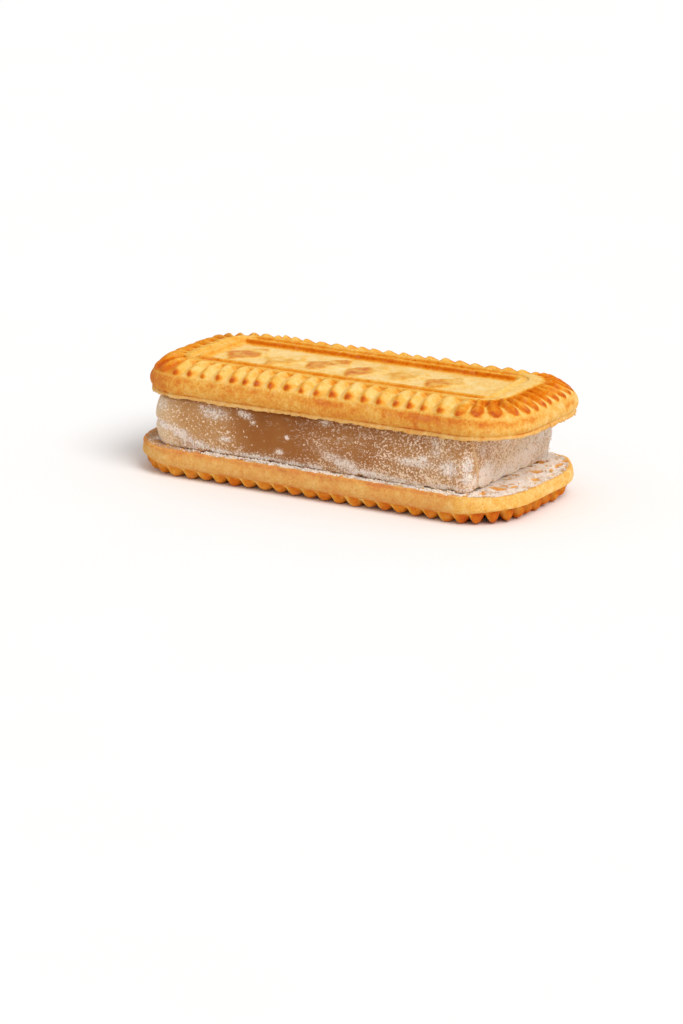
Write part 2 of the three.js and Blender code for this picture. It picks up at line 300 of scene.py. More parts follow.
def biscuit(T, length, seed, upper_one):
    global LENGTH
    LENGTH = length
    t = np.arange(N) / N
    rows = biscuit_profile(upper_one)
    right, left = side_weights(t)
    ends = right + left
    tip_path = ring(t, TIP_W / 2, TIP_L / 2, TIP_L / 2, TIP_R)
    endr = smooth(27.0, 32.5, tip_path[:, 0])
    endl = smooth(28.0, 35.0, -tip_path[:, 0])
    far = smooth(4.0, 13.0, tip_path[:, 1])
    rng = np.random.default_rng(seed)
    if upper_one:
        count = 66
        r64 = np.where(t * 64 > 43.35, t * 64 - 64, t * 64)
        phase0 = np.interp(r64, UPPER_RIBS[:, 0], UPPER_RIBS[:, 1])
        # corners of the piecewise map are taken off
        ext = np.concatenate([phase0[-40:] , phase0, phase0[:40]])
        ext = np.unwrap(ext * 2 * math.pi / 66) * 66 / (2 * math.pi)
        ker = np.hanning(9); ker /= ker.sum()
        phase0 = np.convolve(ext, ker, "same")[40:-40]
        drop0 = np.interp(r64, TIP_DROP[:, 0], TIP_DROP[:, 1])
    else:
        count = 64
        phase0 = 64 * t - 0.2 + 0.06 * loop_noise(t, 30, seed + 1) + 0.04 * loop_noise(t, 75, seed + 2)
        drop0 = 0.9 * ends
    rib_height = 1 + 0.07 * rng.standard_normal(count).clip(-2, 2)
    rib_reach = 0.10 * rng.standard_normal(count).clip(-2, 2)
    rib_brown = rng.random(count)
    rib_width = 1 + 0.18 * rng.standard_normal(count).clip(-1.6, 1.6)

    def per_rib(values, ph):
        lo = np.floor(ph).astype(int)
        f = smooth(0.35, 0.65, ph - lo)
        return values[lo % count] * (1 - f) + values[(lo + 1) % count] * f

    height, reach, browned, fat = (per_rib(v, phase0) for v in (rib_height, rib_reach, rib_brown, rib_width))
    outline = 0.15 * loop_noise(t, 9, seed + 3) + 0.06 * loop_noise(t, 26, seed + 4)
    lipn = 0.10 * loop_noise(t, 45, seed + 5) + 0.09 * loop_noise(t, 120, seed + 6) + 0.06 * loop_noise(t, 260, seed + 7)
    lipz = 0.10 * loop_noise(t, 38, seed + 15) + 0.10 * loop_noise(t, 105, seed + 16) + 0.07 * loop_noise(t, 240, seed + 17)
    lipz = 1.7 * lipz + 0.09 * loop_noise(t, 400, seed + 18) - 0.05
    lipz = lipz if upper_one else 0.62 * lipz
    lipn = lipn if upper_one else 1.5 * lipn
    crease = smooth(-0.4, 0.4, loop_noise(t, 16, seed + 8) + (0.35 if upper_one else -0.15))
    creasez = 0.10 * loop_noise(t, 22, seed + 9)
    out, meta = [], []
    for k, (ci, cz, vi, vz, kind, rho) in enumerate(rows):
        lean = 0.12 + 0.30 * ends
        phase = phase0 - lean * (0.5 - rho) * (0.6 if kind in (2, 3) else 0.0)
        c = np.abs(np.cos(math.pi * phase))
        if upper_one:
            sides = (2.4 - 1.55 * float(smooth(0.0, 0.42, rho))) + 0.85 * float(smooth(0.62, 1.0, rho)) - 0.32 * far * float(smooth(0.2, 0.5, rho))
            tips = 1.9 - 0.75 * float(smooth(0.0, 0.35, rho)) + 0.25 * float(smooth(0.7, 1.0, rho))
            power = sides * (1 - endr) + tips * endr + 0.75 * endl * float(smooth(0.15, 0.4, rho))
        else:
            power = 0.52 + 0.9 * float(smooth(0.7, 1.0, rho)) + 0.5 * ends
        S = c ** (power / fat)
        if kind in (0, 1, 4, 5):
            S = np.zeros(N)
        a, b = ring_at(t, ci), ring_at(t, ci + 0.5)
        n2 = a - b
        n2 /= np.maximum(np.linalg.norm(n2, axis=1, keepdims=True), 1e-6)
        low = float(smooth(1.9, 4.15 if upper_one else 3.4, cz)) if kind == 1 else 0.0
        if kind == 0:
            near = float(smooth(2.4, 0.9, ci))
            shift = near * 0.6 * outline
            pts = a + n2 * shift[:, None]
            z = np.full(N, cz) - near * float(smooth(1.6, 0.8, ci)) * 0.7 * np.clip(lipz, -0.3, 0.3)
        elif kind == 1:
            lip = float(smooth(0.95, 0.30, cz))
            cre = math.exp(-((cz - 0.86) / 0.14) ** 2)
            shift = lipn * lip - 0.13 * (crease - 0.35) * cre + outline * (0.6 + 0.4 * float(smooth(0.3, 1.4, cz)))
            pts = a + n2 * shift[:, None]
            z = cz - 0.9 * lipz * float(smooth(0.7, 0.1, cz)) + creasez * cre - 0.92 * drop0 * low
        elif kind == 2:
            pc, pv = a, ring_at(t, vi)
            w = S[:, None]
            pts = pv * (1 - w) + pc * w
            base_z = vz + endr * (0.30 * float(smooth(0.0, 0.1, rho)) * float(smooth(0.5, 0.25, rho)) - 0.12 * float(smooth(0.5, 0.8, rho))) * (1.0 if upper_one else 0.0)
            z = base_z * (1 - S) + (vz + (cz - vz) * height) * S
            if upper_one:
                # on the far side the ribs fall off sooner towards the edge
                z = z - far * S * 0.30 * float(smooth(0.72, 0.45, rho)) * float(smooth(0.0, 0.2, rho))
            z = z - drop0 * (0.92 + 0.08 * float(smooth(0.0, 0.08, rho))) * float(smooth(0.62, 0.0, rho))
            pts = pts + n2 * (reach * float(smooth(0.4, 0.0, rho)) * S + outline * float(smooth(0.6, 0.0, rho)))[:, None]
        elif kind == 3:
            w = S[:, None]
            pts = ring_at(t, vi) * (1 - w) + a * w
            z = vz * (1 - S) + cz * S
        else:
            pts = a
            z = np.full(N, cz)
        if upper_one and ci > 6.0:
            askew = float(smooth(6.1, 6.9, ci)) * smooth(12.0, 27.0, pts[:, 0])
            pts = pts + np.stack([askew * (1.25 - 0.12 * pts[:, 1]), 0 * askew], -1)
        out.append(np.column_stack([pts, z]))
        meta.append(np.stack([np.full(N, kind), np.full(N, rho), S, np.full(N, cz), np.full(N, ci), browned, ends, crease, c, phase], -1))
    R = len(rows)
    V = np.concatenate(out)
    K, RHO, S, PZ, INS, RB, ENDW, CRE, C, PH = np.concatenate(meta).T
    X, Y, Z = V[:, 0].copy(), V[:, 1].copy(), V[:, 2].copy()

    # raised toasted lozenges in the panel
    mark, rim, toast = np.zeros(len(V)), np.zeros(len(V)), np.zeros(len(V))
    warp_x = 0.55 * fbm(np.column_stack([X, Y, 0 * X]), 0.42, 3, seed + 50)
    warp_y = 0.55 * fbm(np.column_stack([X, Y, 0 * X]), 0.42, 3, seed + 51)
    for j, (mx, my, sx, sy) in enumerate(((-24.2, 0.4, 4.2, 4.5), (-16.0, -0.6, 3.8, 4.9), (-7.2, 0.5, 4.4, 4.6), (1.0, -0.3, 3.7, 5.0), (9.4, 0.4, 4.2, 4.4), (17.6, -0.4, 3.9, 4.8))):
        qx, qy = X - mx + warp_x, Y - my + warp_y
        dxy = np.abs((qx - 0.30 * qy) / sx) + np.abs(qy / sy)
        m = smooth(1.22, 0.80, dxy)
        mark = np.maximum(mark, m)
        rim = np.maximum(rim, np.exp(-((dxy - 0.98) / 0.17) ** 2))
        strong = (1.0, 0.55, 0.9, 1.0, 0.45, 0.8)[j]
        patch = smooth(-0.30, 0.55, fbm(np.column_stack([X * 0.6, Y, 0 * X]), 0.55, 3, seed + 52) + 0.22 - 0.10 * qx - 0.08 * qy)
        toast = np.maximum(toast, strong * m * patch)
    inside = (K == 5)
    mark, rim, toast = mark * inside, rim * inside, toast * inside

    P = np.column_stack([X, Y, Z])
    top = smooth(2.0, 4.0, Z)
    base_face = (K == 0)
    dz = 0.10 * fbm(P, 0.09, 2, seed + 20) * top
    dz += np.where(K == 5, 0.08 * fbm(P, 0.22, 3, seed + 21) + 0.03 * fbm(P, 0.9, 2, seed + 26), 0.0)
    dz += 0.30 * mark * (0.8 + 0.3 * fbm(P, 0.6, 2, seed + 22))
    dz += 0.045 * fbm(P, 0.9, 3, seed + 23) * np.where(K >= 2, 1.0, 0.0) + 0.030 * noise(P, 1.7, seed + 28) * np.where(K == 2, 1.0, 0.0)
    dz += np.where((K == 4) | (K == 3), 0.05 * fbm(P, 0.7, 3, seed + 27), 0.0)
    Z = Z + dz
    out_n = np.column_stack([X * smooth(26, 34, np.abs(X)), Y * 1.6])
    out_n /= np.maximum(np.linalg.norm(out_n, axis=1, keepdims=True), 1e-6)
    rel = (0.045 * fbm(P, 0.5, 3, seed + 24) + 0.022 * fbm(P, 2.0, 3, seed + 25)) * np.where((K == 1) | (K == 2), 1.0, 0.0) * smooth(0.3, 1.0, PZ)
    X = X + out_n[:, 0] * rel
    Y = Y + out_n[:, 1] * rel
    # the face that lies on the filling: lumpy, with pits
    edge_in = smooth(0.72, 1.5, INS)
    pit = smooth(0.40, 0.62, noise(P, 0.62, seed + 30)) * smooth(-0.1, 0.3, noise(P, 0.25, seed + 31) + 0.25)
    if not upper_one:
        for hx, hy, hr in ((33.2, -12.0, 0.9), (34.6, -7.6, 1.0), (37.3, -10.6, 0.6), (34.2, -2.0, 0.55), (36.6, 0.9, 0.9), (34.3, 5.6, 1.1), (37.9, 5.2, 0.7), (35.8, -4.9, 0.6), (31.2, -14.9, 0.7), (36.0, 10.4, 0.8)):
            hole = np.exp(-(((X - hx + 0.25 * warp_x) / (0.75 * hr)) ** 2 + ((Y + hy + 0.4 * warp_y) / (1.15 * hr)) ** 2) ** 1.5)
            pit = np.maximum(pit, hole * base_face)
    rough_top = fbm(P, 0.8, 3, seed + 32)
    lumps = smooth(0.0, 0.5, fbm(P, 0.42, 2, seed + 33))
    Z = Z + np.where(base_face, edge_in * (0.17 * rough_top + 0.04 - 0.10 * lumps + 0.55 * pit), 0.0)

    # browning with painted shade in valleys, notches and flanks and a painted highlight on some crests, 0 pale to 1
    # dark
    mott = fbm(P, 0.28, 3, seed + 40)
    fine = fbm(P, 1.1, 3, seed + 41)
    wall = (K == 1)
    rightw, leftw = np.tile(endr, R), np.tile(endl, R)
    farw = np.tile(far, R)
    near_r = np.tile(smooth(2.0, 26.0, tip_path[:, 0]) * (1 - far), R)
    PHF = PH - np.round(PH)
    crumbs = smooth(-0.2, 0.5, fbm(P, 0.9, 2, seed + 44))
    if upper_one:
        band = np.exp(-((PZ - 3.25) / 0.62) ** 2)
        rub = np.exp(-((PZ - 2.2) / 0.9) ** 2) * leftw
        wb = 0.40 + (0.10 + 0.24 * near_r * (1 - 0.6 * rightw)) * band * (0.55 + 1.2 * mott) + 0.08 * near_r + 0.13 * fine + 0.09 * mott + 0.10 * leftw + 0.18 * rub * (0.6 + mott) - 0.20 * rightw
        wb = wb + (0.29 + 0.15 * leftw - wb) * smooth(3.7, 4.12, PZ)
    else:
        band = np.exp(-((PZ - 0.25) / 0.22) ** 2)
        wb = 0.35 + 0.16 * band * (0.4 + crumbs) * (1 - 0.9 * rightw) + 0.08 * fine + 0.11 * mott - 0.13 * rightw + 0.10 * smooth(2.7, 3.3, PZ) + 0.07 * smooth(1.2, 0.5, PZ) * (1 - rightw)
    browning_and_shade = np.where(wall, wb, 0.30)
    if upper_one:
        browning_and_shade = np.where(wall & (PZ < 0.72), 0.25 + 0.14 * fine - 0.08 * smooth(0.35, 0.1, PZ), browning_and_shade)
        browning_and_shade = np.where(wall, browning_and_shade + 0.30 * np.exp(-((PZ - 0.87) / 0.10) ** 2) * smooth(0.45, 1.0, CRE) * crumbs, browning_and_shade)
    ribz = (K == 2)
    inner = smooth(0.22, 0.45, RHO)
    if upper_one:
        u1 = (PHF - 0.03 - 0.04 * (RB - 0.5)) / np.where(PHF > 0.03, 0.20 + 0.06 * RB, 0.11)
        v1 = (RHO - 0.12 - 0.04 * (RB - 0.5)) / (0.095 + 0.03 * RB)
        spot = np.exp(-(u1 ** 2 + v1 ** 2))
        tail = np.exp(-((PHF + 0.03) / 0.075) ** 2) * smooth(0.62, 0.18, RHO) * smooth(0.0, 0.06, RHO)
        # a thin painted shadow line along the hidden side of each rib crest, partly real browning
        crest_shade_and_brown = np.exp(-((PHF + 0.14) / 0.075) ** 2) * smooth(0.80, 0.40, RHO) * smooth(0.03, 0.10, RHO)
        # painted shade in the notch between the ribs' inner ends
        notch_shade = smooth(0.74, 0.90, RHO) * smooth(0.95, 0.45, S)
        side = 0.205 + 0.06 * mott + 0.06 * fine + (0.52 + 0.26 * RB) * spot + 0.20 * tail + 0.17 * crest_shade_and_brown + 0.12 * notch_shade
        side = side + farw * (0.34 * smooth(0.80, 0.45, RHO) * smooth(0.4, 0.8, S) + 0.10)
        body = smooth(0.16, 0.48, S)
        # darker in the narrow valleys between the ribs: painted shade
        gap = smooth(0.20, 0.03, S) * smooth(0.42, 0.62, RHO)
        wedge = smooth(0.30, 0.05, S) * smooth(0.60, 0.38, RHO)
        tips = smooth(0.30, 0.08, RHO) * smooth(0.45, 0.8, S)
        cap = smooth(-0.02, 0.07, RHO - 0.15 * (1 - S))
        # right end ribs: crest tops made paler as a painted highlight, valleys darker as painted shade; the browned
        # tips are real browning
        end_r = 0.34 + 0.29 * smooth(0.10, 0.42, S) * cap - 0.10 * smooth(0.72, 1.0, S) * smooth(0.05, 0.35, RHO) - 0.14 * wedge + 0.27 * gap + 0.24 * tips * cap * (0.5 + 0.7 * crumbs) + 0.12 * fine + 0.10 * mott - 0.04 * smooth(0.85, 1.0, RHO)
        # left end ribs: darker in the valleys between them as painted shade, and browner towards the tips
        end_l = 0.42 + 0.22 * smooth(0.85, 0.35, S) * smooth(0.0, 0.3, RHO) + 0.19 * smooth(0.75, 0.15, RHO) + 0.10 * mott + 0.06 * fine
        flesh = side * (1 - rightw) * (1 - leftw) + end_r * rightw + end_l * leftw
        flesh = flesh + (0.29 + 0.15 * leftw - flesh) * smooth(0.035, 0.0, RHO)
    else:
        knob = smooth(0.15, 0.6, S)
        # each knob is darker on one side and paler along the other, and darker towards its underside: painted shade and
        # painted highlight
        flesh = 0.40 + 0.16 * knob * smooth(0.42, -0.25, PHF) + 0.10 * mott + 0.06 * fine - 0.16 * smooth(0.12, 0.38, PHF) * smooth(0.55, 0.2, RHO) + 0.10 * smooth(0.3, 0.6, RHO) + 0.16 * rightw
    browning_and_shade = np.where(ribz, flesh, browning_and_shade)
    # where the ribs meet the frame the valleys are darker: painted shade in the notches
    browning_and_shade = np.where(K == 3, 0.30 + (0.14 + 0.20 * rightw) * smooth(0.95, 0.3, S) * smooth(6.28, 6.12, INS) + 0.06 * mott - 0.13 * rightw * smooth(6.1, 6.3, INS), browning_and_shade)
    # the flanks of the frame lines are darker: partly real browning, partly painted shade on the steep faces
    flank = 1.0 * np.exp(-((INS - 9.56) / 0.20) ** 2) + 0.85 * np.exp(-((INS - 8.66) / 0.20) ** 2) + 0.6 * np.exp(-((INS - 7.15) / 0.16) ** 2)
    flankw = 0.26 + 0.03 * farw - 0.24 * rightw - 0.18 * leftw
    browning_and_shade = np.where(K == 4, 0.33 + flankw * flank + 0.08 * mott + 0.03 * farw - 0.14 * rightw - 0.08 * leftw, browning_and_shade)
    browning_and_shade = np.where(inside, 0.11 + 0.11 * mott + 0.05 * fine + 0.16 * np.exp(-((INS - 10.2) / 0.4) ** 2) * (1 - rightw)
                     + 0.15 * rim * smooth(-0.2, 0.5, fbm(P, 0.45, 2, seed + 42)) + 0.45 * toast * (0.75 + 0.8 * fbm(P, 0.9, 3, seed + 43)) + 0.02 * mark, browning_and_shade)
    leftside = np.tile(smooth(-14.0, -30.0, tip_path[:, 0]), R)
    browning_and_shade = np.where(base_face, 0.27 + 0.10 * mott + 0.06 * fine + 0.18 * pit + 0.16 * leftside, browning_and_shade)
    tan = np.where(wall, 0.15 if upper_one else 0.38 - 0.22 * rightw, 0.0) + np.where(ribz & (RHO < 0.3), 0.06, 0.0)
    tan = np.where(wall & (PZ < 0.72) & upper_one, 0.34, tan)
    tan = np.where(base_face, 0.24 + 0.41 * leftside + 0.22 * pit * (1 - leftside), tan)
    tan = np.where(inside, 0.30 * toast, tan)

    idx = np.arange(N)
    nxt = (idx + 1) % N
    quads = [np.stack([k * N + idx, k * N + nxt, (k + 1) * N + nxt, (k + 1) * N + idx], -1) for k in range(R - 1)]
    # the last ring closes along its middle line, and so does the first
    i = np.arange(-(N // 4), N // 4)
    a, b = i % N, (i + 1) % N
    c, e = (N // 2 - i - 1) % N, (N // 2 - i) % N
    last = (R - 1) * N
    caps = np.concatenate([np.stack([last + a, last + b, last + c, last + e], -1), np.stack([e, c, b, a], -1)])
    good = np.array([len(set(q.tolist())) == 4 for q in caps])
    tris = [list(dict.fromkeys(q.tolist())) for q in caps[~good]]
    quads.append(caps[good])
    attrs = {"browning_and_shade": np.clip(browning_and_shade, 0, 1), "kind_panel": np.where(inside, 1.0, 0.0) * (1 - mark), "lower_face": np.where(base_face | (wall & (PZ < 0.12)), 1.0, 0.0),
             "inset": INS, "pit": np.where(base_face, pit, 0.0), "wallmask": np.where(wall, 1.0, 0.0), "lip_low": np.where(wall & (PZ < 0.30), 1.0, 0.0), "leftside": leftside, "tan": tan}
    return np.column_stack([X, Y, Z]), [np.concatenate(quads), np.array([q for q in tris if len(q) == 3], dtype=int).reshape(-1, 3)], attrs


# ------------------------------------------------------------------ materials
def nodes_of(mat):
    mat.use_nodes = True
    nt = mat.node_tree
    nt.nodes.clear()
    return nt


class Graph:
    """a few short words for wiring shader nodes"""

    def __init__(self, name):
        self.mat = bpy.data.materials.new(name)
        self.nt = nodes_of(self.mat)

    def node(self, kind, **props):
        n = self.nt.nodes.new(kind)
        for k, v in props.items():
            setattr(n, k, v)
        return n

    def link(self, a, b):
        self.nt.links.new(a, b)

    def coord(self):
        n = self.node("ShaderNodeTexCoord")
        m = self.node("ShaderNodeMapping")
        m.inputs["Scale"].default_value = (1000, 1000, 1000)
        self.link(n.outputs["Object"], m.inputs["Vector"])
        return m.outputs["Vector"]

    def scaled(self, vec, scale, rot=(0, 0, 0)):
        m = self.node("ShaderNodeMapping")
        m.inputs["Scale"].default_value = scale
        m.inputs["Rotation"].default_value = rot
        self.link(vec, m.inputs["Vector"])
        return m.outputs["Vector"]

    def noise(self, vec, scale, detail=2.0, rough=0.5, distortion=0.0):
        n = self.node("ShaderNodeTexNoise")
        n.inputs["Scale"].default_value = scale
        n.inputs["Detail"].default_value = detail
        n.inputs["Roughness"].default_value = rough
        n.inputs["Distortion"].default_value = distortion
        self.link(vec, n.inputs["Vector"])
        return n.outputs["Fac"]

    def voronoi(self, vec, scale, feature="F1", randomness=1.0):
        n = self.node("ShaderNodeTexVoronoi")
        n.feature = feature
        n.inputs["Scale"].default_value = scale
        n.inputs["Randomness"].default_value = randomness
        self.link(vec, n.inputs["Vector"])
        return n

    def attr(self, name):
        n = self.node("ShaderNodeAttribute")
        n.attribute_name = name
        return n.outputs["Fac"]

    def math(self, op, a, b=None, c=None, clamp=False):
        n = self.node("ShaderNodeMath", operation=op, use_clamp=clamp)
        for i, v in enumerate((a, b, c)):
            if v is None:
                continue
            if isinstance(v, (int, float)):
                n.inputs[i].default_value = v
            else:
                self.link(v, n.inputs[i])
        return n.outputs[0]

    def span(self, v, a, b, c=0.0, d=1.0, smoothstep=True):
        n = self.node("ShaderNodeMapRange")
        n.interpolation_type = "SMOOTHSTEP" if smoothstep else "LINEAR"
        n.inputs["From Min"].default_value = a
        n.inputs["From Max"].default_value = b
        n.inputs["To Min"].default_value = c
        n.inputs["To Max"].default_value = d
        self.link(v, n.inputs["Value"])
        return n.outputs["Result"]

    def ramp(self, v, stops):
        n = self.node("ShaderNodeValToRGB")
        e = n.color_ramp.elements
        while len(e) > 1:
            e.remove(e[-1])
        e[0].position, e[0].color = stops[0][0], lin(stops[0][1])
        for pos, col in stops[1:]:
            k = e.new(pos)
            k.color = lin(col)
        self.link(v, n.inputs["Fac"])
        return n.outputs["Color"]

    def mix(self, f, a, b, blend="MIX"):
        n = self.node("ShaderNodeMix", data_type="RGBA", blend_type=blend)
        for key, v in (("Factor", f), ("A", a), ("B", b)):
            sock = [s for s in n.inputs if s.name == key and (s.type == "RGBA" if key != "Factor" else s.type == "VALUE")][0]
            if isinstance(v, (int, float)):
                sock.default_value = v
            elif isinstance(v, tuple):
                sock.default_value = v
            else:
                self.link(v, sock)
        return [s for s in n.outputs if s.type == "RGBA"][0]

    def bump(self, height, strength, distance, normal=None):
        n = self.node("ShaderNodeBump")
        n.inputs["Strength"].default_value = strength
        n.inputs["Distance"].default_value = distance
        self.link(height, n.inputs["Height"])
        if normal is not None:
            self.link(normal, n.inputs["Normal"])
        return n.outputs["Normal"]

    def finish(self, **consts):
        b = self.node("ShaderNodeBsdfPrincipled")
        o = self.node("ShaderNodeOutputMaterial")
        self.link(b.outputs[0], o.inputs["Surface"])
        for k, v in consts.items():
            sock = b.inputs[k.replace("_", " ")]
            if hasattr(v, "is_output") or hasattr(v, "node"):
                self.link(v, sock)
            else:
                sock.default_value = v
        return b


def biscuit_material(name, lower):
    g = Graph(name)
    p = g.coord()
    # this attribute holds real browning plus painted shade in valleys, notches and flanks and a painted highlight on
    # the right end rib crests
    browning_and_shade = g.attr("browning_and_shade")
    patches = g.noise(p, 0.16, 3.0, 0.55)
    mottle = g.noise(p, 0.62, 4.0, 0.62)
    grain = g.noise(p, 2.4, 4.0, 0.70)
    wallm = g.attr("wallmask")
    panel = g.attr("kind_panel")
    v = g.math("ADD", browning_and_shade, g.math("MULTIPLY", g.math("SUBTRACT", mottle, 0.5), 0.42))
    v = g.math("ADD", v, g.math("MULTIPLY", g.math("SUBTRACT", grain, 0.5), g.span(wallm, 0.0, 1.0, 0.42, 0.72)))
    v = g.math("ADD", v, g.math("MULTIPLY", g.math("SUBTRACT", patches, 0.5), 0.16))
    # small toasted freckles
    dots = g.voronoi(p, 0.95)
    freckle = g.math("MULTIPLY", g.span(dots.outputs["Distance"], 0.26, 0.08), g.span(g.noise(p, 0.42, 2.0), 0.50, 0.66))
    v = g.math("ADD", v, g.math("MULTIPLY", freckle, 0.20))
    col = g.ramp(v, [
        (0.00, (253, 222, 158)),
        (0.14, (250, 209, 128)),
        (0.28, (244, 187, 84)),
        (0.42, (234, 158, 48)),
        (0.58, (224, 124, 10)),
        (0.78, (202, 88, 0)),
        (1.00, (178, 72, 0)),
    ])
    # the crumb is now a little yellower, now a little pinker
    tone = g.noise(p, 0.85, 3.0, 0.6)
    yellow = g.mix(g.span(tone, 0.52, 0.70, 0.0, 0.40), col, lin((238, 186, 66)), "MULTIPLY")
    yellow = g.mix(0.5, col, yellow)
    col = g.mix(g.span(tone, 0.48, 0.32, 0.0, 0.16), yellow, lin((240, 178, 128)))
    # where the crumb shows through the crust it is a greyer tan
    col = g.mix(g.attr("tan"), col, lin((212, 157, 114)))
    # fine dark pores
    pores = g.voronoi(p, 1.9)
    pore = g.math("MULTIPLY", g.span(pores.outputs["Distance"], 0.17, 0.06), g.span(g.noise(p, 0.8, 2.0), 0.53, 0.66))
    col = g.mix(g.math("MULTIPLY", pore, 0.60), col, lin((150, 84, 22)))
    # powder on the face that lies against the filling
    base = g.attr("lower_face")
    dust_n = g.noise(p, 0.5, 5.0, 0.62)
    dust_f = g.noise(p, 2.6, 4.0, 0.75)
    left = g.attr("leftside")
    dust = g.math("ADD", dust_n, g.math("MULTIPLY", g.math("SUBTRACT", dust_f, 0.5), 1.20))
    dust = g.math("SUBTRACT", dust, g.math("MULTIPLY", left, 0.10))
    dust = g.math("SUBTRACT", dust, g.span(g.attr("inset"), 0.8, 2.4, 0.13, 0.0))
    dust = g.span(dust, 0.25, 0.45)
    rim = g.math("MULTIPLY", g.span(g.attr("inset"), 0.70, 1.15), g.span(g.attr("pit"), 0.50, 0.06))
    dust = g.math("MULTIPLY", g.math("MULTIPLY", dust, rim), g.math("MULTIPLY", base, 0.95 if lower else 0.50))
    col = g.mix(dust, col, g.mix(left, lin((255, 245, 237)), lin((238, 204, 174))))
    rough = g.span(grain, 0.2, 0.8, 0.66, 0.86)
    rough = g.math("SUBTRACT", rough, g.math("MULTIPLY", panel, 0.14), clamp=True)
    h = g.math("ADD", g.math("MULTIPLY", g.noise(p, 1.4, 4.0, 0.6), 0.9), g.math("MULTIPLY", g.noise(p, 5.5, 3.0, 0.6), 0.40))
    h = g.math("SUBTRACT", h, g.math("MULTIPLY", pore, 0.6))
    h = g.math("ADD", h, g.math("MULTIPLY", dust, g.math("MULTIPLY", dust_f, 1.0)))
    n = g.bump(h, 1.0, 0.00026)
    g.finish(Base_Color=col, Roughness=rough, Normal=n, Subsurface_Weight=0.06, Subsurface_Radius=(1.0, 0.5, 0.2), Subsurface_Scale=0.0009, Specular_IOR_Level=0.08)
    return g.mat


